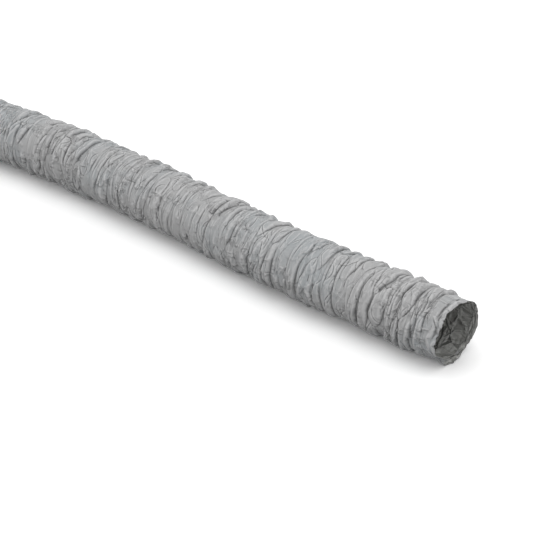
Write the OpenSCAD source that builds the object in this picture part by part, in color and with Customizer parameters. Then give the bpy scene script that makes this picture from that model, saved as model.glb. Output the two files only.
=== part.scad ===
// Flexible air duct: two coated-fabric plies round a spring-steel wire helix.
// The duct lies on a flat surface in a gentle wave. Its near mouth's centre is the
// origin, the near mouth's axis is X, and the duct runs from there towards -X.
// It is divided along its length into links. Each link has a firm one-turn stretch
// of outer ply, and between two links the outer ply is a bellows that folds.

/* [Bore and plies] */
// Radius of the clear bore
bore_r = 51; // [40:0.5:80]
// Thickness of the inner ply
liner_t = 0.4; // [0.3:0.05:0.8]
// Thickness of the outer ply
skin_t = 0.5; // [0.4:0.05:1]

/* [Folds] */
// Distance from one wire turn to the next, as the duct lies
pitch = 25; // [18:0.5:33]
// Height of a fold's crest above the valleys beside it
fold_h = 3.8; // [2:0.2:6]
// Turns of wire in one bellows
bellows_turns = 3; // [1:1:5]
// Turns of wire in one firm stretch
firm_turns = 1; // [1:1:3]
// Straight segments that round one fold's crest
crest_steps = 6; // [4:1:8]

/* [Mouths] */
// Length of the plain cuff at each mouth
cuff_len = 30; // [20:1:60]
// Width of the inner ply's turned lip at a mouth
lip_w = 1.2; // [0.8:0.1:2]
// Clearance between the lip and the outer ply
lip_gap = 0.1; // [0.05:0.05:0.3]

/* [Wire] */
// Diameter of the spring-steel wire
wire_d = 1.2; // [0.8:0.1:2]
// Clearance between the wire and each ply
wire_gap = 0.2; // [0.15:0.05:0.5]
// Distance from a mouth to the cut end of the wire
wire_inset = 5; // [3:0.5:15]

/* [Foot] */
// Depth of the flat that the duct rests on, under each crest
flat_depth = 0.5; // [0.3:0.1:1]

/* [Hidden] */
// Heading of each link in degrees, from -X towards +Y, from the near mouth on
lay = [0, -3, -2.5, 0, 3, 2, 1, -0.5, -1, -4, -7, -10];
links = len(lay);

// Rings round one turn of the wire, and sides of its section
wire_rings = 18;
wire_sides = 5;

// The wire runs on short chords, so its corners lie further out than its middles
liner_r = bore_r + liner_t;
wire_r = (liner_r + wire_gap + wire_d / 2) / cos(180 / wire_rings);
skin_in_r = wire_r + wire_d / 2 + wire_gap;
valley_r = skin_in_r + skin_t;
crest_r = valley_r + fold_h;
floor_z = flat_depth - crest_r;

// Lengths along the duct
bellows_len = bellows_turns * pitch;
firm_len = firm_turns * pitch;

// A cutter larger than the duct, how far a bore's cutter runs past its ends, and how
// far a bellows is made past its ends before it is cut to length
cutter = 3 * (2 * crest_r + 2 * cuff_len + len(lay) * (firm_len + bellows_len));
past = 1;
overrun = 3;

skin_grey = [0.60, 0.61, 0.61];
fold_grey = [0.56, 0.57, 0.57];
liner_grey = [0.42, 0.43, 0.42];
wire_steel = [0.55, 0.56, 0.58];

// The duct as straight stretches: firm, bellows, firm and so on to the far mouth.
// A bellows heads half-way between the two links that it joins.
stretches = 2 * links - 1;
function is_firm(t) = t % 2 == 0;
function is_end(t) = t == 0 || t == stretches - 1;
function turn_of(t) = is_firm(t) ? lay[t / 2] : (lay[(t - 1) / 2] + lay[(t + 1) / 2]) / 2;
function length_of(t) = is_firm(t) ? firm_len + (is_end(t) ? cuff_len : 0) : bellows_len;
function heading(a) = [-cos(a), sin(a), 0];
function start_of(t) = t == 0
    ? [0, 0, 0]
    : start_of(t - 1) + length_of(t - 1) * heading(turn_of(t - 1));

function two(n) = str(n < 10 ? "0" : "", n);
function number(t) = two(floor(t / 2) + 1);
function skin_name(t) = str(is_firm(t) ? "skin_" : "bellows_", number(t));
function liner_name(t) = str(is_firm(t) ? "liner_" : "liner_fold_", number(t));
function wire_name(k) = str("wire_", two(k + 1));

// Crest shape over one turn, 0 at both valleys and 1 at the crest
function bulge(u) = pow(sin(180 * u), 0.8);

// Radius and station of the outer ply's outside over some turns that start at s
function turns_profile(s, turns) = [
    for (i = [0:turns * crest_steps])
    [valley_r + fold_h * bulge((i % crest_steps) / crest_steps), s + i * pitch / crest_steps]
];

// The same for a whole stretch: a cuff where it ends at a mouth, and a bellows runs
// on past both its ends, where the firm stretches beside it cut it off
function stretch_profile(t) =
    t == 0 ? concat([[valley_r, 0]], turns_profile(cuff_len, firm_turns)) :
    is_end(t) ? concat(turns_profile(0, firm_turns), [[valley_r, length_of(t)]]) :
    is_firm(t) ? turns_profile(0, firm_turns) :
    concat(
        [[valley_r, -overrun]],
        turns_profile(0, bellows_turns),
        [[valley_r, bellows_len + overrun]]
    );

// Moves a shape from a stretch's own frame, where it runs along -X, to its place
module in_stretch(t) {
    translate(start_of(t)) rotate([0, 0, -turn_of(t)]) children();
}

// Turns a profile of [radius, station] points into a solid round the stretch's axis
module turned(points) {
    first = points[0];
    last = points[len(points) - 1];
    rotate([0, -90, 0])
        rotate_extrude($fn = 64)
            polygon(concat([[0, first[1]]], points, [[0, last[1]]]));
}

// Everything above a level
module above(z) {
    translate([-cutter / 2, -cutter / 2, z]) cube(cutter);
}

// Everything between the end faces of the firm stretches on both sides of t
module between_firm(t) {
    intersection() {
        translate(start_of(t)) rotate([0, 0, -turn_of(t - 1)])
            translate([-cutter, -cutter / 2, -cutter / 2]) cube(cutter);
        translate(start_of(t + 1)) rotate([0, 0, -turn_of(t + 1)])
            translate([0, -cutter / 2, -cutter / 2]) cube(cutter);
    }
}

// Cuts a bellows to length, and leaves a firm stretch as it is
module to_length(t) {
    if (is_firm(t)) {
        children();
    } else {
        intersection() {
            children();
            between_firm(t);
        }
    }
}

// Outer ply of a stretch, flat underneath, with its wall as thick under the flat
module skin(t) {
    points = stretch_profile(t);
    first = points[0];
    last = points[len(points) - 1];
    inner = [for (p = points) [p[0] - skin_t, p[1]]];
    before = [first[0] - skin_t, first[1] - past];
    after = [last[0] - skin_t, last[1] + past];
    color(is_firm(t) ? skin_grey : fold_grey) difference() {
        to_length(t) intersection() {
            in_stretch(t) turned(points);
            above(floor_z);
        }
        intersection() {
            in_stretch(t) turned(concat([before], inner, [after]));
            above(floor_z + skin_t);
        }
    }
}

// A tube on a stretch's axis, between two of its stations
module tube(t, outer_r, s0, s1) {
    in_stretch(t) translate([-s0, 0, 0]) rotate([0, -90, 0]) difference() {
        cylinder(r = outer_r, h = s1 - s0, $fn = 96);
        translate([0, 0, -past]) cylinder(r = bore_r, h = s1 - s0 + 2 * past, $fn = 96);
    }
}

// Inner ply of a stretch. At a mouth its lip turns out to the outer ply.
module liner(t) {
    extra = is_firm(t) ? 0 : overrun;
    lip_r = skin_in_r - lip_gap;
    end = length_of(t);
    color(liner_grey) {
        to_length(t) tube(t, liner_r, -extra, end + extra);
        if (t == 0) tube(t, lip_r, 0, lip_w);
        if (t == stretches - 1) tube(t, lip_r, end - lip_w, end);
    }
}

// Sections of the wire are counted from the near cuff's inner edge, so that every
// stretch starts on a section. The section there stands between the two headings.
wire_lead = atan(pitch / (2 * PI * wire_r));
cuff_sections = floor((cuff_len - wire_inset) / pitch * wire_rings);
firm_sections = firm_turns * wire_rings;
step_sections = (firm_turns + bellows_turns) * wire_rings;
all_sections = (links - 1) * step_sections + firm_sections;
function stretch_at(j) =
    let (k = max(0, min(links - 1, floor(j / step_sections))))
    j - k * step_sections < firm_sections || k == links - 1 ? 2 * k : 2 * k + 1;
function first_section(t) = floor(t / 2) * step_sections + (is_firm(t) ? 0 : firm_sections);
function turn_at(j) =
    let (t = stretch_at(j))
    j == first_section(t) && t > 0 ? (turn_of(t - 1) + turn_of(t)) / 2 : turn_of(t);
function centre_at(j) =
    let (
        t = stretch_at(j),
        before_ribs = t == 0 ? cuff_len : 0,
        s = before_ribs + (j - first_section(t)) * pitch / wire_rings
    )
    start_of(t) + s * heading(turn_of(t));

function outward_at(j) =
    let (a = turn_at(j), q = 360 * j / wire_rings)
    [cos(q) * sin(a), cos(q) * cos(a), sin(q)];
function onward_at(j) =
    let (a = turn_at(j), q = 360 * j / wire_rings)
    [-sin(q) * sin(a), -sin(q) * cos(a), cos(q)];
function wire_centre(j) = centre_at(j) + wire_r * outward_at(j);
function wire_section(j) =
    let (
        middle = wire_centre(j),
        out = outward_at(j),
        side = cos(wire_lead) * heading(turn_at(j)) - sin(wire_lead) * onward_at(j)
    )
    [
        for (i = [0:wire_sides - 1])
        let (q = 360 * i / wire_sides)
        middle + wire_d / 2 * (cos(q) * out + sin(q) * side)
    ];

function wire_first(k) = k == 0 ? -cuff_sections : k * step_sections;
function wire_last(k) = k == links - 1
    ? all_sections + cuff_sections
    : (k + 1) * step_sections;

// One unbroken stretch of the helix, as triangles between neighbouring sections
module wire(k) {
    first = wire_first(k);
    count = wire_last(k) - first;
    n = wire_sides;
    points = [for (j = [0:count]) each wire_section(first + j)];
    sides = [
        for (j = [0:count - 1], i = [0:n - 1])
        let (a = j * n + i, b = j * n + (i + 1) % n)
        each [[a, b, b + n], [a, b + n, a + n]]
    ];
    start_cap = [for (i = [1:n - 2]) [0, i + 1, i]];
    top = count * n;
    end_cap = [for (i = [1:n - 2]) [top, top + i, top + i + 1]];
    color(wire_steel) polyhedron(points, concat(sides, start_cap, end_cap), convexity = 4);
}

// The least gap between one turn of the wire and the next, measured on its sections
wire_least_gap = min([
    for (j = [-cuff_sections:all_sections + cuff_sections - wire_rings - 1], m = [-1:1])
    norm(wire_centre(j + wire_rings + m) - wire_centre(j)) - wire_d
]);
echo(str("Least gap between the wire's turns, mm: ", wire_least_gap));

for (t = [0:stretches - 1]) {
    skin(t);
    liner(t);
}
for (k = [0:links - 1]) {
    wire(k);
}
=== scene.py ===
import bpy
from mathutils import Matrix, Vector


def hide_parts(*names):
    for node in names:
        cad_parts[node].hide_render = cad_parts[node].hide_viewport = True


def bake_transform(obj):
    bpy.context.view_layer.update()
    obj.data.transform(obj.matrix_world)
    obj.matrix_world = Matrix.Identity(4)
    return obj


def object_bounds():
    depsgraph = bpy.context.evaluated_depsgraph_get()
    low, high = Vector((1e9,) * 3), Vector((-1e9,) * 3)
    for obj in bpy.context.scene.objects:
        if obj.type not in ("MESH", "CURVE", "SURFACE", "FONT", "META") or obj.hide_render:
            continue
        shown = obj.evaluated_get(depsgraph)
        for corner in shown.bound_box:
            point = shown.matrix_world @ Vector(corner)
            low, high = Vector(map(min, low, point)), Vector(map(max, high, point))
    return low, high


bl_info = {
    "name": "Flexible Air Duct",
    "version": (1, 0, 0),
    "blender": (4, 5, 0),
    "location": "3D View > Sidebar > Air Duct",
    "description": "Builds a coated-fabric flexible air duct round its CAD frame",
    "category": "Object",
}

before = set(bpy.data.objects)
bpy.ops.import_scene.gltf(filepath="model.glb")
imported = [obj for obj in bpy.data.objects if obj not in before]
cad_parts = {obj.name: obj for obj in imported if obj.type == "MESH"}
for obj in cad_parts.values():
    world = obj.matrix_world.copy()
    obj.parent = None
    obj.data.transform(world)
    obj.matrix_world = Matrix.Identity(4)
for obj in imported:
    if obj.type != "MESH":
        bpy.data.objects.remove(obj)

import math

import bpy
import numpy as np
from bpy.props import FloatProperty, FloatVectorProperty, IntProperty, PointerProperty
from mathutils import Vector

CAD_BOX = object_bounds()
MM = 0.001

# Heading of each link in degrees, from -X towards +Y, from the near mouth on
LAY = (0, -3, -2.5, 0, 3, 2, 1, -0.5, -1, -4, -7, -10)
# Distance between the middles of two firm stretches, and of the first one from the mouth
STEP = 100.0
FIRST_FIRM = 42.5
# Wire turns between two firm stretches
TURNS_PER_STEP = 4
WIRE_TURNS = 45
# The wire's last turn at each end closes on itself, climbing this much
END_TURN = 10.0
# The stretches of fabric beyond the held wire are counted in turns this long
CUFF_TURN = 55.0
PIECES = 11
# Points round each ring of the fabric, and rings for each turn of the wire
AROUND = 360
RINGS = 32
# Mean radius of the folded outer ply, and of the lining
FOLDED_RADIUS = 57.0
LINING_RADIUS = 54.0
# How far the underside stays off the CAD box, and how softly it rests there
FLOOR_GAP = 0.15
FLOOR_EASE = 0.16
# Corners round a cut cuff with their depth, how far in they reach, and how far it flares
CUFF_CORNERS = ((9, 2.2), (19, 2.4))
CUFF_REACH = 34.0
CUFF_FLARE = 1.2
# Waves and scallops of the cut edges: their depth, and the number of scallops
EDGE_WAVE = 1.9
EDGE_SCALLOP = 2.6
SCALLOPS = 23
# No crest stands further out than this from the held tube, and no valley lies further in than
# this at the wire, and than both together beside it
TALLEST, SINK_AT_WIRE, SINK_BESIDE = 7.3, 0.1, 1.5
# Length in metres that the weave's map takes the duct's girth for, a whole number of threads
WEAVE_GIRTH = 0.3584

# How the duct's girth changes along it: station, change of radius
GIRTH = (
    (0, 0.2), (60, 0.4), (130, 0.0), (200, 0.0), (285, 0.6), (350, 0.0), (400, -1.2),
    (470, 0.4), (530, -0.8), (600, -0.2), (665, 0.2), (745, 0.0), (834, -1.0),
    (900, 0.8), (945, 0.2), (1010, -0.4), (1100, 0.5), (1185, 0.0),
)


# ---- sizes and colours


class DuctSizes(bpy.types.PropertyGroup):
    """Sizes of the duct's plies and wire."""

    pitch: FloatProperty(
        name="Wire Pitch", description="Distance from one wire turn to the next",
        default=0.025, min=0.018, max=0.033, unit="LENGTH")
    cuff: FloatProperty(
        name="Cuff Length", description="Free fabric from a mouth to the first held wire turn",
        default=0.030, min=0.02, max=0.06, unit="LENGTH")
    radius: FloatProperty(
        name="Radius at the Wire", description="Outer ply's outside radius over the wire",
        default=0.0527, min=0.05, max=0.06, unit="LENGTH")
    wire: FloatProperty(
        name="Wire Diameter", description="Diameter of the spring-steel wire",
        default=0.0012, min=0.0008, max=0.002, unit="LENGTH")
    outer_ply: FloatProperty(
        name="Outer Ply", description="Thickness of the outer ply",
        default=0.0005, min=0.0003, max=0.001, unit="LENGTH")
    inner_ply: FloatProperty(
        name="Inner Ply", description="Thickness of the inner ply",
        default=0.0004, min=0.0003, max=0.001, unit="LENGTH")


class DuctFolds(bpy.types.PropertyGroup):
    """Folds and creases of the outer ply."""

    seed: IntProperty(
        name="Seed", description="Number that the folds' chance is drawn from", default=9, min=0)
    height: FloatProperty(
        name="Fold Height", description="How far the folds between two wire turns stand out",
        default=0.0033, min=0.0, max=0.007, unit="LENGTH")
    spread: FloatProperty(
        name="Height Spread", description="How much one fold differs from the next",
        default=0.0008, min=0.0, max=0.003, unit="LENGTH")
    firmer: FloatProperty(
        name="Extra at the Mouth",
        description="How much further the rings near the mouth stand out",
        default=0.0024, min=0.0, max=0.003, unit="LENGTH")
    deepen: FloatProperty(
        name="Valley Depth", description="How far the valleys are drawn in between their folds",
        default=3.2, min=0.0, max=6.0)
    riders: IntProperty(
        name="Middle Folds", description="Folds that ride on those between the wire turns",
        default=150, min=0, max=3000)
    small: IntProperty(
        name="Small Folds", description="Short sharp folds on top of the others",
        default=700, min=0, max=5000)
    taut: IntProperty(
        name="Taut Patches", description="Places where the fabric is drawn flat over the wire",
        default=16, min=0, max=100)
    calm: FloatProperty(
        name="Calm",
        description="How far patches without small folds spread, away from the near mouth",
        default=0.6, min=0.0, max=2.0)
    creases: IntProperty(
        name="Creases", description="Short dents that handling left", default=900, min=0, max=9000)
    crumple: FloatProperty(
        name="Crumple", description="Slope of the small facets all over the fabric",
        default=0.3, min=0.0, max=1.0)


class DuctFinish(bpy.types.PropertyGroup):
    """Colours and surface of the duct."""

    skin: FloatVectorProperty(
        name="Outer Ply", description="Colour of the coated outer ply",
        default=(0.404, 0.404, 0.406), size=3, subtype="COLOR", min=0, max=1)
    tint: FloatVectorProperty(
        name="Outer Ply Tint", description="Cooler colour that the outer ply drifts to in patches",
        default=(0.363, 0.382, 0.393), size=3, subtype="COLOR", min=0, max=1)
    lining: FloatVectorProperty(
        name="Inner Ply", description="Colour of the coated inner ply",
        default=(0.41, 0.412, 0.396), size=3, subtype="COLOR", min=0, max=1)
    steel: FloatVectorProperty(
        name="Wire", description="Colour of the spring steel",
        default=(0.46, 0.47, 0.48), size=3, subtype="COLOR", min=0, max=1)
    floor: FloatVectorProperty(
        name="Floor", description="Colour of the floor",
        default=(0.3, 0.3, 0.3), size=3, subtype="COLOR", min=0, max=1)


class DuctStage(bpy.types.PropertyGroup):
    """Camera and light."""

    azimuth: FloatProperty(
        name="Camera Azimuth", description="Camera's turn about the vertical",
        default=math.radians(42.0), subtype="ANGLE")
    elevation: FloatProperty(
        name="Camera Elevation", description="Camera's height above the horizon",
        default=math.radians(31.3), subtype="ANGLE")
    distance: FloatProperty(
        name="Camera Distance", description="Distance from the near mouth to the lens",
        default=2.915, min=0.5, max=10, unit="LENGTH")
    key: FloatProperty(
        name="Key Lamp", description="Power of the key lamp", default=15.0, min=0, unit="POWER")
    fill: FloatProperty(
        name="Sky", description="Strength of the even light from all round",
        default=0.88, min=0, max=2, subtype="FACTOR")


# ---- course of the duct


def smooth(x):
    """0 to 1 as x goes from 0 to 1, level at both ends."""
    x = np.clip(x, 0.0, 1.0)
    return x * x * (3 - 2 * x)


def course(stations):
    """Places, side and heading on the duct's middle line at these stations, in mm."""
    fine = np.arange(0, STEP * (len(LAY) + 1) + 1.0)
    firm = FIRST_FIRM + STEP * np.arange(len(LAY))
    turn = np.radians(np.interp(fine, firm, LAY))
    half = (turn[1:] + turn[:-1]) / 2
    x, y = (np.interp(stations, fine, np.append(0, np.cumsum(way)))
            for way in (-np.cos(half), np.sin(half)))
    # before the mouth the line runs straight on
    x = x - np.minimum(stations, 0)
    bend, level = np.interp(stations, fine, turn), np.zeros_like(x)
    return np.stack([x, y, level], -1), np.stack([-np.sin(bend), -np.cos(bend), level], -1)


def lay_out(points):
    """Points of the straight duct (station, side, height) put on its course, in metres."""
    floor = CAD_BOX[0][2] / MM
    station, side, height = points[..., 0], points[..., 1], points[..., 2]
    girth = 1 + np.interp(station, *zip(*GIRTH)) / FOLDED_RADIUS
    side, height = side * girth, (height - floor) * girth + floor
    # where it stands, the fabric flattens on the floor
    floor += FLOOR_GAP
    low = height - floor
    height = floor + 0.5 * (low + np.sqrt(low * low + FLOOR_EASE))
    place, across = course(station)
    place = place + across * side[..., None]
    place[..., 2] += height
    return place * MM


# ---- folds of the fabric


def smoothed(field, high, wide):
    """A tube's values with everything smaller than this, in rows and points, smoothed away."""
    up = np.exp(-2 * (np.pi * high * np.fft.fftfreq(field.shape[0])) ** 2)
    over = np.exp(-2 * (np.pi * wide * np.fft.rfftfreq(field.shape[1])) ** 2)
    return np.fft.irfft2(np.fft.rfft2(field) * up[:, None] * over[None, :], s=field.shape)


def soft_noise(rng, shape, high, wide):
    """Smooth chance values with a spread of 1 over a tube's rings, in rows and points."""
    raw = smoothed(rng.standard_normal(shape), high, wide)
    return raw / raw.std()


class Winding:
    """The wire's turns, and the plain tube of fabric that they hold.

    A turn parameter counts the turns: 0 where the regular ones start and WIRE_TURNS where
    they end.
    """

    # Turns that are worked out before and after the regular ones
    SPARE = 3
    # How far a turn strays and leans, in mm, and how its lean veers, in radians
    STRAY, LEAN, VEER = 2.0, 1.4, 0.7

    def __init__(self, sizes, rng):
        self.pitch = sizes.pitch / MM
        self.cuff = sizes.cuff / MM
        self.radius = sizes.radius / MM
        knots = np.arange(-self.SPARE, WIRE_TURNS + self.SPARE + 1.0)
        held = (knots > 0) & (knots < WIRE_TURNS)
        station = self.station_of(knots)
        station[held] += rng.normal(0, self.STRAY, held.sum())
        # a turn that isn't square to the duct leans, the other way each half turn
        lean = rng.normal(0, self.LEAN, knots.size)
        lean *= np.clip(1 + np.minimum(knots, WIRE_TURNS - knots), 0, 1)
        phase = np.cumsum(rng.normal(0, self.VEER, knots.size))
        self.turns = np.linspace(knots[0], knots[-1], (len(knots) - 1) * AROUND + 1)
        angle = 2 * np.pi * self.turns
        self.stations = np.interp(self.turns, knots, station)
        for wave in (np.cos, np.sin):
            self.stations += np.interp(self.turns, knots, lean * wave(phase)) * wave(angle)

    def station_of(self, u):
        """Station in mm of a turn parameter, were the turns all alike."""
        u = np.asarray(u, float)
        before, after = np.minimum(u, 0), np.maximum(u - WIRE_TURNS, 0)
        inner = self.cuff + self.pitch * np.clip(u, 0, WIRE_TURNS)
        closed = END_TURN * (np.maximum(before, -1) + np.minimum(after, 1))
        return inner + closed + CUFF_TURN * (np.minimum(before + 1, 0) + np.maximum(after - 1, 0))

    def crossing(self, turns):
        """Stations in mm at which the wire passes these turn parameters."""
        return np.interp(turns, self.turns, self.stations)

    def tube(self, u):
        """Points at turn parameters u (rings, around), straight from one wire turn to the next."""
        points = np.empty((*u.shape, 3))
        for j in range(AROUND):
            turns = np.arange(-self.SPARE, WIRE_TURNS + self.SPARE) + j / AROUND
            points[:, j, 0] = np.interp(u[:, j], turns, self.crossing(turns))
        angle = 2 * np.pi * np.arange(AROUND) / AROUND
        points[..., 1], points[..., 2] = self.radius * np.cos(angle), self.radius * np.sin(angle)
        return points


def normals_of(points):
    """Unit normals of a closed tube's rings of points, outwards."""
    round_ = np.roll(points, -1, 1) - np.roll(points, 1, 1)
    onward = np.gradient(points, axis=0)
    n = np.cross(onward, round_)
    n /= np.linalg.norm(n, axis=-1, keepdims=True) + 1e-12
    return -n if (n[..., 1:] * points[..., 1:]).sum() < 0 else n


def shrink(points, depth):
    """Points moved towards the duct's middle line by depth, in mm."""
    r = np.sqrt(points[..., 1] ** 2 + points[..., 2] ** 2)
    out = points.copy()
    out[..., 1:] *= ((r - depth) / r)[..., None]
    return out


def creases(rng, shape, cell, count):
    """Heights in mm of short sharp dents, a few of them raised."""
    depth, length, width = (2.0, 4.2), (7, 24), (0.8, 1.5)
    turn_spread, bow_spread, raised_share, raised = 0.2, 0.018, 0.12, -0.8
    rows, around = shape
    high, wide = cell
    field = np.zeros(shape)
    for _ in range(count):
        row, col = rng.uniform(0, rows), rng.integers(around)
        half, across = rng.uniform(*length), rng.uniform(*width)
        turn = rng.normal(0, turn_spread)
        deep = rng.uniform(*depth) * (raised if rng.random() < raised_share else 1)
        reach_r = int((3 * across + abs(math.sin(turn)) * half) / high) + 1
        reach_c = int(half / wide) + 1
        r0, r1 = max(0, int(row) - reach_r), min(rows, int(row) + reach_r + 1)
        cols = np.arange(-reach_c, reach_c + 1)
        dr, dc = (np.arange(r0, r1) - row)[:, None] * high, cols[None, :] * wide
        bow = rng.normal(0, bow_spread) * dc * dc
        x = dr * math.cos(turn) - dc * math.sin(turn) + bow
        y = dc * math.cos(turn) + dr * math.sin(turn)
        taper = np.clip(1 - (y / half) ** 2, 0, 1)
        # steeper on one side, with the fabric pushed up a little beside it
        lean = np.where(x > 0, 1.5, 1.0)
        line = np.exp(-np.abs(x) / (across * lean)) - 0.4 * np.exp(-((x / (2.4 * across)) ** 2))
        field[r0:r1, (cols + col) % around] -= deep * taper * line
    return field


def crumple(rng, stations, radius, waves, slope):
    """Heights in mm of flat facets between sharp creases that run mostly round the tube."""
    turn = 2 * np.pi * np.arange(AROUND) / AROUND
    cell_r, cell_c = np.diff(stations).mean(), 2 * np.pi * radius / AROUND
    shape = (len(stations), AROUND)
    total = np.zeros(shape)
    for wave in waves:
        tilt = rng.normal(0, 0.4)
        # a whole number of waves round the tube, so that they meet
        cycles = round(2 * np.pi * radius * math.sin(tilt) / wave)
        bend = soft_noise(rng, shape, 0.5 * wave / cell_r, 1.1 * wave / cell_c)
        x = stations[:, None] * math.cos(tilt) / wave + cycles * turn[None, :] / (2 * np.pi)
        x += 0.33 * bend
        ridge = np.abs(x - np.round(x)) * 4 - 1
        patch = soft_noise(rng, shape, wave / cell_r, 1.6 * wave / cell_c)
        share = 0.3 + 0.7 * smooth(0.5 + 0.45 * patch)
        total += 0.25 * slope * wave * share * ridge
    return total


def cornered(points, station, rng):
    """The cut cuffs stand in flats and corners instead of a true round."""
    out = points.copy()
    for near in (station - station[0], station[-1] - station):
        share = (1 - smooth(near / CUFF_REACH))[:, None]
        flats = np.zeros(AROUND)
        for corners, depth in CUFF_CORNERS:
            at = np.arange(corners) + rng.uniform(-0.32, 0.32, corners)
            at = np.sort(at / corners) * AROUND
            tall = rng.normal(0, depth, corners)
            flats += np.interp(np.arange(AROUND), at, tall, period=AROUND)
        flats -= flats.mean()
        out[..., 1:] *= (1 + share * (CUFF_FLARE + flats[None, :]) / FOLDED_RADIUS)[..., None]
    return out


class Relief:
    """Heights in mm over the duct's surface, built up of long rounded folds.

    Each is laid over what is there already, so that a sharp valley stays where two meet.
    """

    # How far the folds' coordinates wander over the surface, in patches of which size
    WANDER_ALONG = ((1.2, 13), (0.4, 5))
    WANDER_ACROSS = ((3.0, 16), (0.8, 6))
    # Height of the fabric where no fold is laid
    BARE = -0.4
    # Size of the calm patches, where they start to grow and over what length, and the chance
    # value from which a patch is calm and over which it becomes so
    CALM_PATCH, CALM_START, CALM_RISE = 20, 100, 350
    CALM_LEVEL, CALM_EDGE = 0.4, 0.6

    def __init__(self, rng, stations, radius, calm=0.0, seed=0):
        self.stations = stations
        self.girth = 2 * np.pi * radius
        self.cell = self.girth / AROUND
        self.step = np.diff(stations).mean()
        self.rng = rng
        self.along = stations[:, None]
        for far, size in self.WANDER_ALONG:
            self.along = self.along + far * self.noise(size)
        self.across = self.cell * np.arange(AROUND)[None, :]
        for far, size in self.WANDER_ACROSS:
            self.across = self.across + far * self.noise(size)
        self.height = np.full(self.along.shape, self.BARE)
        # 1 in patches where the fabric lies calm, which are larger away from the near mouth
        self.calm = np.zeros(self.along.shape)
        if calm:
            patches = self.noise(self.CALM_PATCH, np.random.default_rng(seed))
            far = smooth((stations - stations[0] - self.CALM_START) / self.CALM_RISE)[:, None]
            self.calm = smooth((patches - self.CALM_LEVEL + calm * far) / self.CALM_EDGE)

    def noise(self, size, rng=None):
        """Smooth chance values over the surface, in patches of this size in mm."""
        shape = (len(self.stations), AROUND)
        return soft_noise(rng or self.rng, shape, size / self.step, size / self.cell)

    def fold(self, at, half, top, drop, tilt, lean, power, ramp=0.0):
        """Lays one fold at (station, place round the duct), with these half sizes."""
        a, b = half
        # the rings and points that it can touch
        reach = 1.3 * a + 1.2 * b * abs(math.sin(tilt)) + 8
        r0, r1 = np.searchsorted(self.stations, (at[0] - reach, at[0] + reach))
        if r1 <= r0:
            return
        wide = min(int((1.25 * b + a + 12) / self.cell), AROUND // 2 - 1)
        cols = (np.arange(-wide, wide + 1) + int(round(at[1] / self.cell))) % AROUND
        ds = self.along[r0:r1, cols] - at[0]
        dc = self.across[r0:r1, cols] - at[1]
        dc -= self.girth * np.round(dc / self.girth)
        x = ds * math.cos(tilt) - dc * math.sin(tilt)
        y = dc * math.cos(tilt) + ds * math.sin(tilt)
        top = top + ramp * np.clip(x / a, -1, 1)
        x = np.abs(x) / np.where(x > 0, a * (1 + lean), a * (1 - lean))
        here = top - drop * x ** power[0] - drop * np.abs(y / b) ** power[1]
        self.height[r0:r1, cols] = np.maximum(self.height[r0:r1, cols], here)

    def scatter(self, count, margin, half, rise, drop, tilt, power):
        """Lays small folds at random on top of what is there, outside the calm patches."""
        rng = self.rng
        first, last = self.stations[0] + margin, self.stations[-1] - margin
        for _ in range(count):
            at = (rng.uniform(first, last), rng.uniform(0, self.girth))
            row = min(int(np.searchsorted(self.stations, at[0])), len(self.stations) - 1)
            col = int(at[1] / self.cell) % AROUND
            top = self.height[row, col] + rng.uniform(*rise)
            size = (rng.uniform(*half[0]), rng.uniform(*half[1]))
            turn, lean = rng.normal(*tilt), rng.uniform(-0.6, 0.6)
            if self.calm[row, col] < 0.5:
                self.fold(at, size, top, drop, turn, lean, power)

    def softened(self, size):
        """The heights with everything smaller than this size in mm smoothed away."""
        spare = 40
        field = np.pad(self.height, ((spare, spare), (0, 0)), "edge")
        return smoothed(field, size / self.step, size / self.cell)[spare:-spare]


def main_folds(work, winding, folds):
    """Lays one row of long folds between every two turns of the wire."""
    rng, girth = work.rng, work.girth
    # lengths in mm, the least that a row ends on, and shares of the gap and of the length
    lengths, least, widths, reach_round = (80, 180), 50, (0.85, 1.15), 0.64
    # how far rows differ and folds stray, in mm, and a fold's slant, lean and uneven height
    differ, stray, slant, lean, ramp = 0.5, 1.6, (-0.07, 0.07), 0.4, 1.5
    drop, power, less_near = 7.0, (3.0, 2.6), 0.7
    for turn in range(-1, WIRE_TURNS + 1):
        inward = winding.station_of(turn) - work.stations[0]
        # near the mouth the folds stand further out and are more alike
        near = 1 - smooth((inward - 110) / 140)
        loose = 0.4 + 0.6 * smooth((inward - 50) / 60)
        ring = folds.height / MM + differ * rng.normal() + folds.firmer / MM * near
        place = rng.uniform(0, girth)
        end = place + girth
        while place < end - 1:
            size = rng.uniform(*lengths)
            # the last one of the row takes what is left
            if end - place < size + least:
                size = end - place
            middle = place + 0.5 * size
            low, high = winding.crossing(turn + middle / girth % 1.0 + np.arange(2))
            at = (0.5 * (low + high) + rng.normal(0, stray), middle % girth)
            half = (0.5 * (high - low) * rng.uniform(*widths), reach_round * size)
            top = ring + loose * folds.spread / MM * rng.normal()
            work.fold(at, half, top, drop, tilt=loose * rng.normal(*slant),
                      lean=rng.uniform(-lean, lean), power=(power[0] - less_near * near, power[1]),
                      ramp=rng.uniform(-ramp, ramp) * (1 - 0.6 * near))
            place += size


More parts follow.
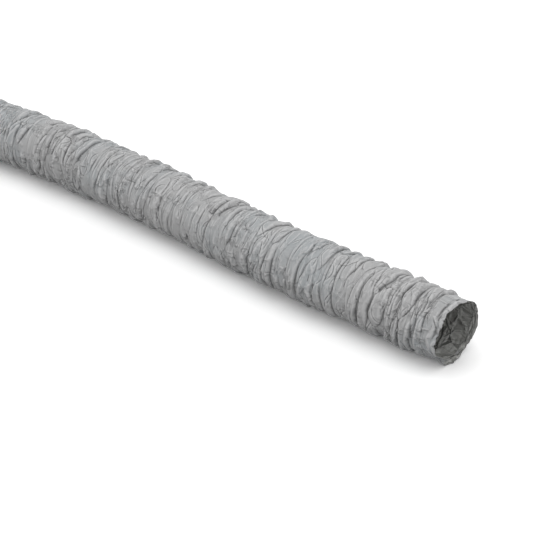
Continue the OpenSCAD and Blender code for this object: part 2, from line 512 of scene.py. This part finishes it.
def relief(rng, winding, line, folds):
    """Heights in mm of the outer ply's folds over the held tube, and where it lies calm."""
    stations = winding.station_of(line)
    work = Relief(rng, stations, FOLDED_RADIUS, folds.calm, folds.seed + 1)
    main_folds(work, winding, folds)
    # places where it is drawn flat over the wire, none of them near the mouth
    first, half_along, half_round, lower = 130, (15, 26), (25, 55), (0.7, 1.7)
    for _ in range(folds.taut):
        at = (rng.uniform(stations[0] + first, stations[-1]), rng.uniform(0, work.girth))
        half = (rng.uniform(*half_along), rng.uniform(*half_round))
        top = folds.height / MM - rng.uniform(*lower)
        work.fold(at, half, top, drop=3.0, tilt=rng.normal(0, 0.1), lean=0.0, power=(3.0, 3.0))
    work.scatter(folds.riders, margin=15, half=((2.5, 5.0), (16, 44)), rise=(0.2, 1.0),
                 drop=4.0, tilt=(-0.05, 0.16), power=(1.3, 1.6))
    work.scatter(folds.small, margin=10, half=((1.6, 2.8), (8, 20)), rise=(0.3, 1.0),
                 drop=3.0, tilt=(-0.05, 0.25), power=(1.1, 1.5))
    # valleys are drawn in deeper, here more and there less
    hollow = np.minimum(work.height - work.softened(4.0), 0)
    share = 0.3 + 0.9 * smooth(0.5 + 0.4 * work.noise(11))
    field = work.height + folds.deepen * share * hollow
    # calm patches are a little softer and less crumpled
    field += 0.15 * work.calm * (work.softened(6.0) - field)
    field += creases(rng, field.shape, (work.step, work.cell), folds.creases)
    facets = crumple(rng, stations, FOLDED_RADIUS, (40, 30, 24, 17, 11), folds.crumple)
    field += (1 - 0.6 * work.calm) * facets
    # creases die out at the cut edges
    near = np.minimum(stations - stations[0], stations[-1] - stations)
    return field * (0.12 + 0.88 * smooth((near + 3) / 17.0))[:, None], work.calm


STATE = {}


def fabric(context):
    """The plain tube's and the folded outer ply's rings in mm, made once for each setting."""
    sizes, folds = context.scene.duct_sizes, context.scene.duct_folds
    key = tuple(getattr(group, name) for group in (sizes, folds) for name in group.__annotations__)
    if STATE.get("key") == key:
        return STATE
    rng = np.random.default_rng(folds.seed)
    winding = Winding(sizes, rng)
    spare = 1 + (winding.cuff - END_TURN) / CUFF_TURN
    ends = (-spare, WIRE_TURNS + spare)
    first, last = math.ceil(ends[0] * RINGS), math.floor(ends[1] * RINGS)
    line = np.concatenate([[ends[0]], np.arange(first + 1, last) / RINGS, [ends[1]]])
    u = np.repeat(line[:, None], AROUND, 1)
    # the cut edges of the fabric aren't quite true
    for end, sign in zip(ends, (1, -1)):
        wave = soft_noise(rng, (1, AROUND), 0, 12)
        scallops = np.abs(np.sin(np.arange(AROUND) / AROUND * np.pi * SCALLOPS + 0.8 * wave))
        wave = (EDGE_WAVE * wave + EDGE_SCALLOP * (1 - scallops)) / CUFF_TURN
        near = 1 - smooth(np.abs(line - end) / 0.25)
        u += near[:, None] * sign * np.abs(wave)
    base = cornered(winding.tube(u), winding.station_of(line), rng)
    field, calm = relief(rng, winding, line, folds)
    # the wire holds the fabric out where it crosses, and less so beside it
    turn = line[:, None] - np.arange(AROUND) / AROUND
    off = np.abs(turn - np.round(turn)) * winding.pitch
    least = -SINK_AT_WIRE - SINK_BESIDE * smooth((off - 1.2) / 2.5)
    skin = base + normals_of(base) * np.clip(field, least, TALLEST)[..., None]
    STATE.update(key=key, winding=winding, line=line, base=base, skin=skin, calm=calm)
    return STATE


def bumps(points, reach):
    """How far each point stands out of its neighbours' mean, in mm."""
    rows = np.arange(len(points))
    near = sum(np.roll(points, q, 1) + points[(rows + q).clip(0, rows[-1])]
               for q in (reach, -reach))
    return ((points - near / 4) * normals_of(points)).sum(-1)


def piece_span(k, start, stop):
    """Turn parameters where piece k, counted from 0, starts and stops.

    It runs from the middle of one firm stretch to the next, or from the start or to the stop.
    """
    first = 0.5 + TURNS_PER_STEP * k
    return start if k == 0 else first, stop if k == PIECES - 1 else first + TURNS_PER_STEP


# ---- meshes


def grid_faces(at, flip):
    """Four-cornered faces of a closed tube, from its rings of point numbers."""
    on = np.roll(at, -1, 1)
    corners = [at[:-1], on[:-1], on[1:], at[1:]]
    if flip:
        corners.reverse()
    return np.stack(corners, -1).reshape(-1, 4)


def join_rings(fine, coarse, flip):
    """Triangles between a ring of points and one with half as many."""
    a, b, c = fine[::2], fine[1::2], np.roll(fine[::2], -1)
    d, e = coarse, np.roll(coarse, -1)
    made = np.stack([a, d, b, b, d, e, b, e, c], -1).reshape(-1, 3)
    return made[:, ::-1] if flip else made


def fill(items, key, values, kind=np.float32):
    """Sets one value, or row of values, of every item of a mesh's collection."""
    items.foreach_set(key, values.astype(kind).ravel())


def ply_mesh(name, front, back, masks, coords, outward):
    """A closed ply: a fine front, and a back of every other ring and point."""
    verts = np.concatenate([front.reshape(-1, 3), back.reshape(-1, 3)])
    at = np.arange(front[..., 0].size).reshape(front.shape[:2])
    behind = at.size + np.arange(back[..., 0].size).reshape(back.shape[:2])
    quads = np.concatenate([grid_faces(at, not outward), grid_faces(behind, outward)])
    tris = np.concatenate([
        join_rings(at[0], behind[0], not outward), join_rings(at[-1], behind[-1], outward)])
    corners = np.concatenate([quads.ravel(), tris.ravel()])
    mesh = bpy.data.meshes.new(name)
    mesh.vertices.add(len(verts))
    fill(mesh.vertices, "co", verts)
    mesh.loops.add(corners.size)
    fill(mesh.loops, "vertex_index", corners, np.int32)
    mesh.polygons.add(len(quads) + len(tris))
    starts = np.concatenate([np.arange(len(quads)) * 4, quads.size + np.arange(len(tris)) * 3])
    fill(mesh.polygons, "loop_start", starts, np.int32)
    mesh.update(calc_edges=True)
    for key, sides in masks.items():
        layer = mesh.attributes.new(key, "FLOAT", "POINT")
        fill(layer.data, "value", np.concatenate([side.ravel() for side in sides]))
    uv = mesh.uv_layers.new(name="weave")
    flat = np.concatenate([side.reshape(-1, 2) for side in coords])
    fill(uv.data, "uv", flat[corners])
    mesh.shade_smooth()
    return mesh


def place(context, name, data):
    """An object at the origin that shows this data."""
    piece = bpy.data.objects.new(name, data)
    context.collection.objects.link(piece)
    return piece


def hang_piece(piece, k, own):
    """Piece k, counted from 0, stands for its nodes and runs from one link to the next.

    The last piece stands for the first node of the last link too.
    """
    nodes = own(k + 1)
    if k == PIECES - 1:
        nodes.append(own(k + 2)[0])
    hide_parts(*nodes)
    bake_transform(piece)


def set_normals(mesh, normals):
    """The whole duct's normals on the first points of one piece, so that no seam shows."""
    own = np.empty(len(mesh.vertices) * 3, np.float32)
    mesh.vertex_normals.foreach_get("vector", own)
    own[:normals.size] = normals.ravel()
    mesh.normals_split_custom_set_from_vertices(own.reshape(-1, 3).tolist())


# ---- materials


class Wiring:
    """Short ways to add and join nodes."""

    def __init__(self, tree):
        self.tree = tree

    def join(self, source, target):
        self.tree.links.new(source, target)

    def add(self, kind, values=(), **settings):
        """A node's outputs, once its inputs are fed with these values, by name or place."""
        node = self.tree.nodes.new(kind)
        for key, value in settings.items():
            setattr(node, key, value)
        for key, value in dict(values).items():
            if isinstance(value, bpy.types.NodeSocket):
                self.join(value, node.inputs[key])
            elif value is not None:
                node.inputs[key].default_value = value
        return node.outputs

    def math(self, operation, a, b=0.0):
        return self.add("ShaderNodeMath", {0: a, 1: b}, operation=operation)[0]

    def times(self, a, b):
        return self.math("MULTIPLY", a, b)

    def plus(self, a, b):
        return self.math("ADD", a, b)

    def minus(self, a, b):
        return self.math("SUBTRACT", a, b)

    def span(self, value, *ends):
        """A smooth step: ends are from and to on the value, and from and to on the result."""
        return self.add("ShaderNodeMapRange", enumerate((value, *ends)),
                        interpolation_type="SMOOTHSTEP")[0]

    def mix(self, share, a, b, blend="MIX"):
        a, b = (v if isinstance(v, bpy.types.NodeSocket) else (*v, 1.0)[:4] for v in (a, b))
        return self.add("ShaderNodeMix", {0: share, 6: a, 7: b},
                        data_type="RGBA", blend_type=blend)[2]

    def noise(self, vector, scale, detail=3.0, rough=0.5, out="Fac", **settings):
        values = {"Vector": vector, "Scale": scale, "Detail": detail, "Roughness": rough}
        return self.add("ShaderNodeTexNoise", values, **settings)[out]

    def bump(self, height, strength, distance, under=None):
        """Normal of a surface with this height on it, over the normal under it."""
        values = {"Strength": strength, "Distance": distance, "Height": height, "Normal": under}
        return self.add("ShaderNodeBump", values)[0]


def new_group(name, inputs, outputs, kind="Shader"):
    """A node group with these sockets, its wiring, and what goes in and out of it.

    A socket is a name, a kind and, where it has one, a default.
    """
    group = bpy.data.node_groups.new(name, kind + "NodeTree")
    for side, sockets in (("INPUT", inputs), ("OUTPUT", outputs)):
        for label, what, *value in sockets:
            socket = group.interface.new_socket(label, in_out=side, socket_type="NodeSocket" + what)
            if value:
                socket.default_value = value[0]
    given, out = (group.nodes.new("NodeGroup" + side) for side in ("Input", "Output"))
    return group, Wiring(group), given.outputs, out.inputs


def new_material(name):
    """A material, its nodes and its Principled shader."""
    material = bpy.data.materials.new(name)
    material.use_nodes = True
    return material, Wiring(material.node_tree), material.node_tree.nodes["Principled BSDF"]


def weave_group():
    """Height of the coated cloth's weave, from the ply's own UV map in metres."""
    group, w, given, out = new_group(
        "Coated Weave",
        [("Vector", "Vector"), ("Thread", "Float", 0.0007), ("Depth", "Float", 1.0)],
        [("Height", "Float")])
    split = w.add("ShaderNodeSeparateXYZ", {0: given["Vector"]})
    turn = w.math("DIVIDE", math.pi, given["Thread"])
    warp, weft = (w.math("SINE", w.times(split[i], turn)) for i in range(2))
    over = w.math("GREATER_THAN", w.times(warp, weft), 0.0)
    height = w.plus(w.times(w.math("ABSOLUTE", warp), over),
                    w.times(w.math("ABSOLUTE", weft), w.minus(1.0, over)))
    w.join(w.times(height, given["Depth"]), out["Height"])
    return group


def crease_group():
    """Fine creases in patches, mostly round the duct, from the ply's own UV map in metres."""
    group, w, given, out = new_group(
        "Fine Creases",
        [("Vector", "Vector"), ("Size", "Float", 0.014), ("Spread", "Float", 0.6)],
        [("Line", "Float"), ("Height", "Float")])
    vector = given["Vector"]
    # the creases wander this far round the duct and along it, in metres
    wander = w.add("ShaderNodeVectorMath", {0: w.noise(vector, 85.0, detail=2.0, out="Color"),
                                            1: (0.016, 0.008, 0.0), 2: vector},
                   operation="MULTIPLY_ADD")[0]
    # the map runs twice as fast round the duct as along it, and creases are longer round it
    drawn_out = w.add("ShaderNodeVectorMath", {0: wander, 1: (0.32, 1.25, 0.0)},
                      operation="MULTIPLY")[0]
    cells = w.add("ShaderNodeTexVoronoi",
                  {"Vector": drawn_out, "Scale": w.math("DIVIDE", 1.0, given["Size"])},
                  voronoi_dimensions="2D", feature="DISTANCE_TO_EDGE")
    # the patches that hold creases, larger with Spread
    reach = w.times(given["Spread"], 0.4)
    patch = w.noise(vector, 26.0, detail=2.0, rough=0.6)
    here = w.span(patch, w.minus(0.72, reach), w.minus(0.88, reach))
    # a narrow line on each cell's edge, and a facet that rises to it
    line, facet = (w.times(w.span(cells["Distance"], 0.0, width, 1.0, 0.0), here)
                   for width in (0.10, 0.45))
    w.join(line, out["Line"])
    w.join(w.plus(w.times(facet, 0.7), w.times(line, 0.3)), out["Height"])
    return group


def painted_fold_light_group():
    """Masks for painted highlight on raised fold edges and painted shade in fold bottoms, broken up
    by noise.
    """
    group, w, given, out = new_group(
        "Painted Fold Light",
        [("Vector", "Vector"), ("Fold", "Float", 0.0)], [("Edge", "Float"), ("Bottom", "Float")])
    grain = w.noise(given["Vector"], 220.0, detail=4.0, rough=0.6)
    fold = w.plus(given["Fold"], w.times(w.minus(grain, 0.5), 0.12))
    w.join(w.span(fold, 0.10, 0.45), out["Edge"])
    w.join(w.span(fold, -0.05, -0.8), out["Bottom"])
    return group


# Each ply's painted highlight on fold edges and painted shade in fold bottoms, its roughness,
# its creases' size, spread, painted highlight line and height, and painted shade in its bore
OUTER_LOOK = {"pale": 1.42, "dark": 0.3, "rough": 0.5, "size": 0.015, "spread": 0.75,
              "line": 0.9, "height": 0.0036, "bore_shade": 0.0}
INNER_LOOK = {"pale": 1.3, "dark": 0.4, "rough": 0.52, "size": 0.016, "spread": 1.0,
              "line": 0.6, "height": 0.0055, "bore_shade": 0.72}
# Colour of the painted shade that darkens the bore deep inside each mouth
BORE_SHADE = (0.02, 0.02, 0.018)
# Where the painted shade of the bore starts and is full inside each mouth, in metres along the duct
BORE_SHADE_FROM_NEAR, BORE_SHADE_FROM_FAR = (0.03, 0.12), (1.155, 1.065)
# Share of the creases that a calm patch loses
CALMED = 0.55


def coated_material(name, base, tint, look):
    """Vinyl-coated cloth: patchy colour, painted highlight and shade on folds, painted shade deep
    in the bore, creases, weave.
    """
    material, w, shader = new_material(name)
    place = w.add("ShaderNodeTexCoord")["Object"]
    uv = w.add("ShaderNodeUVMap", uv_map="weave")["UV"]
    fold, calm = (w.add("ShaderNodeAttribute", attribute_name=mask)["Fac"]
                  for mask in ("fold", "calm"))
    busy = w.minus(1.0, w.times(calm, CALMED))
    painted_fold_light, weave, creased = (
        w.add("ShaderNodeGroup", values, node_tree=shared_groups()[key]) for key, values in (
            ("painted_fold_light", {"Vector": place, "Fold": fold}), ("weave", {"Vector": uv}),
            ("creases", {"Vector": uv, "Size": look["size"], "Spread": look["spread"]})))
    patch = w.noise(place, 9.0, rough=0.55)
    mottle = w.noise(place, 120.0, detail=5.0, rough=0.65)
    colour = w.mix(w.span(patch, 0.42, 0.66), base, tint)
    shade = w.plus(0.955, w.times(mottle, 0.09))
    grey = w.add("ShaderNodeCombineColor", {i: shade for i in range(3)})[0]
    colour = w.mix(1.0, colour, grey, "MULTIPLY")
    # paler and darker copies of the ply's own colour, used as painted highlight and painted shade
    pale = tuple(min(1.0, v * look["pale"]) for v in base)
    dark = tuple(v * look["dark"] for v in base)
    # painted highlight: raised fold edges are made paler
    colour = w.mix(w.times(painted_fold_light["Edge"], 0.75), colour, pale)
    # painted highlight: a pale line along each crease, fainter in calm patches
    colour = w.mix(w.times(w.times(creased["Line"], busy), look["line"]), colour, pale)
    # painted shade: fold bottoms are made darker
    colour = w.mix(w.times(painted_fold_light["Bottom"], 0.8), colour, dark)
    # painted shade: the lining is darkened further inside each mouth
    if look["bore_shade"]:
        along = w.add("ShaderNodeSeparateXYZ", {0: uv})[1]
        near, far = (w.span(along, *ends) for ends in (BORE_SHADE_FROM_NEAR, BORE_SHADE_FROM_FAR))
        colour = w.mix(w.times(w.times(near, far), look["bore_shade"]), colour, BORE_SHADE)
    w.join(colour, shader.inputs["Base Color"])
    rough = w.plus(look["rough"] - 0.06, w.times(mottle, 0.12))
    w.join(w.plus(rough, w.times(painted_fold_light["Edge"], 0.12)), shader.inputs["Roughness"])
    ridges = w.noise(place, 120.0, noise_type="RIDGED_MULTIFRACTAL", normalize=True)
    # the weave, small ridges on it, and the creases on both
    normal = w.bump(weave["Height"], strength=0.35, distance=0.00006)
    normal = w.bump(w.times(ridges, busy), strength=0.6, distance=0.0014, under=normal)
    normal = w.bump(w.times(creased["Height"], busy), 1.0, look["height"], under=normal)
    w.join(normal, shader.inputs["Normal"])
    return material


def steel_material(colour):
    """Drawn spring steel with a fine grain."""
    material, w, shader = new_material("Spring Steel")
    place = w.add("ShaderNodeTexCoord")["Object"]
    grain = w.noise(place, 900.0, detail=4.0, rough=0.6)
    patch = w.noise(place, 40.0, detail=2.0)
    dull = tuple(v * 0.8 for v in colour)
    w.join(w.mix(w.span(patch, 0.4, 0.7), colour, dull), shader.inputs["Base Color"])
    shader.inputs["Metallic"].default_value = 1.0
    w.join(w.plus(0.28, w.times(grain, 0.2)), shader.inputs["Roughness"])
    w.join(w.bump(grain, strength=0.2, distance=0.00003), shader.inputs["Normal"])
    return material


def seen_directly(w):
    """1 for what the camera, a reflection or glass sees, 0 for light on its way."""
    path = w.add("ShaderNodeLightPath")
    seen = w.math("MAXIMUM", path["Is Camera Ray"], path["Is Glossy Ray"])
    return w.math("MAXIMUM", seen, path["Is Transmission Ray"])


# ---- operators


def shared_groups():
    """The shader node groups that more than one material uses, built once."""
    if "groups" not in STATE:
        STATE["groups"] = {"weave": weave_group(), "creases": crease_group(), "painted_fold_light": painted_fold_light_group()}
    return STATE["groups"]


def piece_rows(state, k, stride):
    """The rings of piece k, counted from 0, at this stride, with its last one."""
    line = state["line"]
    first, last = (int(np.argmin(np.abs(line - turn))) for turn in piece_span(k, line[0], line[-1]))
    return np.unique(np.append(np.arange(first, last + 1, stride), last))


def thinned(values, rows, stride):
    """The values of these rings, at one point in stride."""
    return values[rows][:, ::stride]


def fabric_coords(state, rows, stride):
    """UV coordinates in metres: round the duct, and along it."""
    line = state["winding"].station_of(state["line"])[rows]
    # the map runs out round one half and back round the other, so that it has no seam
    u = (np.arange(0, AROUND, stride) / AROUND) * WEAVE_GIRTH
    u = np.minimum(u, WEAVE_GIRTH - u) * 2
    return np.stack(np.broadcast_arrays(u[None, :], line[:, None] * MM), -1)


def ply_pieces(context, kind, surface, calm, back_depth, own, material, outward, hidden_stride=1):
    """The pieces of one ply, each running from one link to the next.

    Pieces that don't reach a mouth keep one ring and one point in hidden_stride.
    """
    state = fabric(context)
    placed = lay_out(surface)
    normals = normals_of(placed)
    # the course may turn the tube inside out for normals_of
    if ((normals * (placed - placed.mean(1, keepdims=True))).sum() < 0) == outward:
        normals = -normals
    # small folds and larger ones, each over the height in mm that it mostly has
    folds = 0.65 * bumps(surface, 2) / 0.45 + 0.35 * bumps(surface, 5) / 1.6
    back = lay_out(shrink(surface, back_depth))
    for k in range(PIECES):
        step = 1 if k in (0, PIECES - 1) else hidden_stride
        # rings and step round them of the side that shows, and of the other one
        fine, coarse = sides = [(piece_rows(state, k, n), n) for n in (step, 2 * step)]
        masks = {key: [thinned(mask, *side) for side in sides]
                 for key, mask in (("fold", folds), ("calm", calm))}
        coords = [fabric_coords(state, *side) for side in sides]
        name = f"{kind}_{k + 1:02d}"
        mesh = ply_mesh(
            name, thinned(placed, *fine), thinned(back, *coarse), masks, coords, outward)
        set_normals(mesh, thinned(normals, *fine))
        mesh.materials.append(material)
        hang_piece(place(context, name, mesh), k, own)


class DUCT_OT_outer_ply(bpy.types.Operator):
    """Add the creased outer ply"""

    bl_idname = "duct.outer_ply"
    bl_label = "Outer Ply"

    def execute(self, context):
        finish, state = context.scene.duct_finish, fabric(context)
        material = coated_material(
            "Coated Outer Ply", tuple(finish.skin), tuple(finish.tint), OUTER_LOOK)
        ply_pieces(context, "outer_ply", state["skin"], state["calm"],
                   context.scene.duct_sizes.outer_ply / MM,
                   lambda n: [f"skin_{n:02d}", f"bellows_{n:02d}"], material, True)
        return {"FINISHED"}


class DUCT_OT_inner_ply(bpy.types.Operator):
    """Add the inner ply, which lines the bore"""

    bl_idname = "duct.inner_ply"
    bl_label = "Inner Ply"

    # Over this length from a cut edge the plies part; no fold hangs deeper into the bore
    CLOSED, DEEPEST = 9.0, 5.0
    # Folds in one turn of the wire, and small folds in all
    FOLDS, SMALL = 6, 900

    def execute(self, context):
        sizes, state = context.scene.duct_sizes, fabric(context)
        base = tuple(context.scene.duct_finish.lining)
        tint = tuple(v * 0.93 for v in base)
        material = coated_material("Coated Inner Ply", base, tint, INNER_LOOK)
        outer, inner = sizes.outer_ply / MM, sizes.inner_ply / MM
        # the plies meet at the cut edges and part over the wire
        winding = state["winding"]
        stations = winding.station_of(state["line"])
        near = np.minimum(stations - stations[0], stations[-1] - stations)
        gap = outer + 0.05 + (sizes.wire / MM + 0.15) * smooth(near / self.CLOSED)
        surface = shrink(state["base"], (gap + inner)[:, None])
        rng = np.random.default_rng(context.scene.duct_folds.seed + 200)
        work = Relief(rng, stations, LINING_RADIUS)
        for turn in range(-1, WIRE_TURNS + 1):
            for _ in range(self.FOLDS):
                middle = rng.uniform(0, work.girth)
                at = (winding.station_of(turn + 0.5 + middle / work.girth), middle)
                half, top = (rng.uniform(6, 11), rng.uniform(20, 50)), rng.uniform(1.1, 4.1)
                work.fold(at, half, top, drop=4.0, tilt=rng.normal(0, 0.35),
                          lean=rng.uniform(-0.5, 0.5), power=(1.8, 2.0))
        work.scatter(self.SMALL, margin=0, half=((2, 5), (8, 30)), rise=(0.5, 2.0),
                     drop=3.0, tilt=(0, 0.5), power=(1.4, 1.8))
        facets = crumple(rng, stations, LINING_RADIUS, (24, 17, 13, 10), slope=0.2)
        field = work.height - work.BARE + facets
        field *= smooth((near + 1) / self.CLOSED)[:, None]
        surface = surface - normals_of(surface) * np.clip(field, -0.1, self.DEEPEST)[..., None]
        ply_pieces(context, "inner_ply", surface, np.zeros(field.shape), -inner,
                   lambda n: [f"liner_{n:02d}", f"liner_fold_{n:02d}"], material, False,
                   hidden_stride=3)
        return {"FINISHED"}


def wire_tree():
    """A geometry tree that sweeps a round section along a line of edges."""
    tree, w, given, out = new_group(
        "Wound Wire",
        [("Geometry", "Geometry"), ("Wire Radius", "Float"), ("Sides", "Int"),
         ("Finish", "Material")],
        [("Geometry", "Geometry")], "Geometry")
    section = w.add("GeometryNodeCurvePrimitiveCircle",
                    {"Radius": given["Wire Radius"], "Resolution": given["Sides"]})[0]
    shape = given["Geometry"]
    for kind, values in (("MeshToCurve", {}),
                         ("CurveToMesh", {"Profile Curve": section, "Fill Caps": True}),
                         ("SetShadeSmooth", {}), ("RealizeInstances", {}),
                         ("SetMaterial", {"Material": given["Finish"]})):
        shape = w.add("GeometryNode" + kind, {0: shape, **values})[0]
    w.join(shape, out["Geometry"])
    return tree


class DUCT_OT_wire(bpy.types.Operator):
    """Add the spring-steel wire wound between the plies"""

    bl_idname = "duct.wire"
    bl_label = "Wire"

    SIDES = 8

    per_turn: IntProperty(
        name="Points per Turn", description="Points on one turn", default=40, min=12)

    def path(self, state, start, stop, depth):
        """Points of the wire's line between two turn parameters, in metres."""
        base, line = state["base"], state["line"]
        t = np.linspace(start, stop, int((stop - start) * self.per_turn) + 1)
        row, col = np.interp(t, line, np.arange(len(line))), (t % 1.0) * AROUND
        r, c = np.floor(row).astype(int).clip(0, len(line) - 2), np.floor(col).astype(int)
        fr, fc = (row - r)[:, None], (col - c)[:, None]
        before, after = ((1 - fc) * base[ring, c % AROUND] + fc * base[ring, (c + 1) % AROUND]
                         for ring in (r, r + 1))
        return lay_out(shrink((1 - fr) * before + fr * after, depth))

    def execute(self, context):
        sizes, state = context.scene.duct_sizes, fabric(context)
        depth = sizes.outer_ply / MM + 0.1 + 0.5 * sizes.wire / MM
        material = steel_material(tuple(context.scene.duct_finish.steel))
        tree = wire_tree()
        values = {"Wire Radius": 0.5 * sizes.wire, "Sides": self.SIDES, "Finish": material}
        for k in range(PIECES):
            path = self.path(state, *piece_span(k, -1.0, WIRE_TURNS + 1.0), depth)
            name = f"wire_coil_{k + 1:02d}"
            rail = bpy.data.meshes.new(name + "_line")
            rail.from_pydata(path.tolist(), [(i, i + 1) for i in range(len(path) - 1)], [])
            piece = place(context, name, rail)
            modifier = piece.modifiers.new(tree.name, "NODES")
            modifier.node_group = tree
            for item in tree.interface.items_tree:
                if item.name in values:
                    modifier[item.identifier] = values[item.name]
            graph = context.evaluated_depsgraph_get()
            mesh = bpy.data.meshes.new_from_object(piece.evaluated_get(graph))
            piece.modifiers.clear()
            piece.data = mesh
            mesh.name = name
            bpy.data.meshes.remove(rail)
            hang_piece(piece, k, lambda n: [f"wire_{n:02d}"])
        return {"FINISHED"}


class DUCT_OT_stage(bpy.types.Operator):
    """Add the floor, the lamp, the sky and the camera"""

    bl_idname = "duct.stage"
    bl_label = "Stage"

    # Pixel of the near mouth's centre, focal length in pixels, and the image's width
    MOUTH = (456.2, 332.5)
    FOCAL = 1860.0
    IMAGE = 550.0
    SENSOR = 36.0
    # The floor as the camera sees it, its half width, and how far it lies under the duct
    SEEN_FLOOR = (1.25, 1.25, 1.25)
    FLOOR_HALF, FLOOR_DROP = 14.0, 0.0003
    LAMP, LAMP_AIM, LAMP_SIZE = (-0.3, -0.35, 3.0), (-0.45, 0, 0), 2.4

    def execute(self, context):
        scene, stage = context.scene, context.scene.duct_stage
        self.floor(context, tuple(scene.duct_finish.floor))
        self.camera(context, stage.azimuth, stage.elevation, stage.distance)
        self.lamp(context, stage.key)
        scene.world = bpy.data.worlds.new("Studio")
        scene.world.use_nodes = True
        w = Wiring(scene.world.node_tree)
        sky = scene.world.node_tree.nodes["Background"]
        sky.inputs["Color"].default_value = (1, 1, 1, 1)
        # seen by itself the sky is white, whatever light it gives
        strength = w.plus(stage.fill, w.times(seen_directly(w), 1.0 - stage.fill))
        w.join(strength, sky.inputs["Strength"])
        scene.view_settings.view_transform = "Standard"
        return {"FINISHED"}

    def camera(self, context, a, e, distance):
        right = Vector((math.cos(a), math.sin(a), 0))
        back = Vector((math.sin(a) * math.cos(e), -math.cos(a) * math.cos(e), math.sin(e)))
        up = back.cross(right)
        data = bpy.data.cameras.new("Camera")
        data.sensor_width = self.SENSOR
        data.lens = self.SENSOR * self.FOCAL / self.IMAGE
        data.clip_end = 100.0
        camera = place(context, "Camera", data)
        off_x, off_y = ((v - self.IMAGE / 2) / self.FOCAL * distance for v in self.MOUTH)
        camera.location = -off_x * right + off_y * up + distance * back
        camera.rotation_euler = (-back).to_track_quat("-Z", "Y").to_euler()
        context.scene.camera = camera

    def lamp(self, context, power):
        data = bpy.data.lights.new("Key Lamp", "AREA")
        data.shape = "DISK"
        data.size = self.LAMP_SIZE
        data.energy = power
        lamp = place(context, "Key Lamp", data)
        lamp.location = self.LAMP
        aim = Vector(self.LAMP_AIM) - Vector(self.LAMP)
        lamp.rotation_euler = aim.to_track_quat("-Z", "Y").to_euler()

    def floor(self, context, tone):
        level, half = CAD_BOX[0][2] - self.FLOOR_DROP, self.FLOOR_HALF
        mesh = bpy.data.meshes.new("Floor")
        corners = ((-half, -half), (half, -half), (half, half), (-half, half))
        mesh.from_pydata([(x, y, level) for x, y in corners], [], [(0, 1, 2, 3)])
        material, w, shader = new_material("Pale Floor")
        nodes = material.node_tree.nodes
        nodes.remove(shader)
        # as seen, the floor is white up to the object's shadow
        colour = w.mix(seen_directly(w), tone, self.SEEN_FLOOR)
        matt = w.add("ShaderNodeBsdfDiffuse", {"Color": colour})[0]
        w.join(matt, nodes["Material Output"].inputs["Surface"])
        mesh.materials.append(material)
        place(context, "Floor", mesh)


class DUCT_PT_panel(bpy.types.Panel):
    """The duct's pieces, sizes and finish"""

    bl_idname = "DUCT_PT_panel"
    bl_label = "Air Duct"
    bl_space_type = "VIEW_3D"
    bl_region_type = "UI"
    bl_category = "Air Duct"

    def draw(self, context):
        layout, scene = self.layout, context.scene
        for group in (getattr(scene, key) for key in SETTINGS):
            box = layout.box()
            for key in group.__annotations__:
                box.prop(group, key)
        for operator in STEPS:
            layout.operator(operator.bl_idname)


STEPS = (DUCT_OT_stage, DUCT_OT_outer_ply, DUCT_OT_inner_ply, DUCT_OT_wire)
CLASSES = (DuctSizes, DuctFolds, DuctFinish, DuctStage, *STEPS, DUCT_PT_panel)
SETTINGS = {"duct_sizes": DuctSizes, "duct_folds": DuctFolds,
            "duct_finish": DuctFinish, "duct_stage": DuctStage}


def register():
    for kind in CLASSES:
        bpy.utils.register_class(kind)
    for key, kind in SETTINGS.items():
        setattr(bpy.types.Scene, key, PointerProperty(type=kind))


def unregister():
    for key in SETTINGS:
        delattr(bpy.types.Scene, key)
    for kind in reversed(CLASSES):
        bpy.utils.unregister_class(kind)


def main():
    register()
    bpy.ops.duct.stage()
    bpy.ops.duct.outer_ply()
    bpy.ops.duct.inner_ply()
    bpy.ops.duct.wire()


if __name__ == "__main__":
    main()
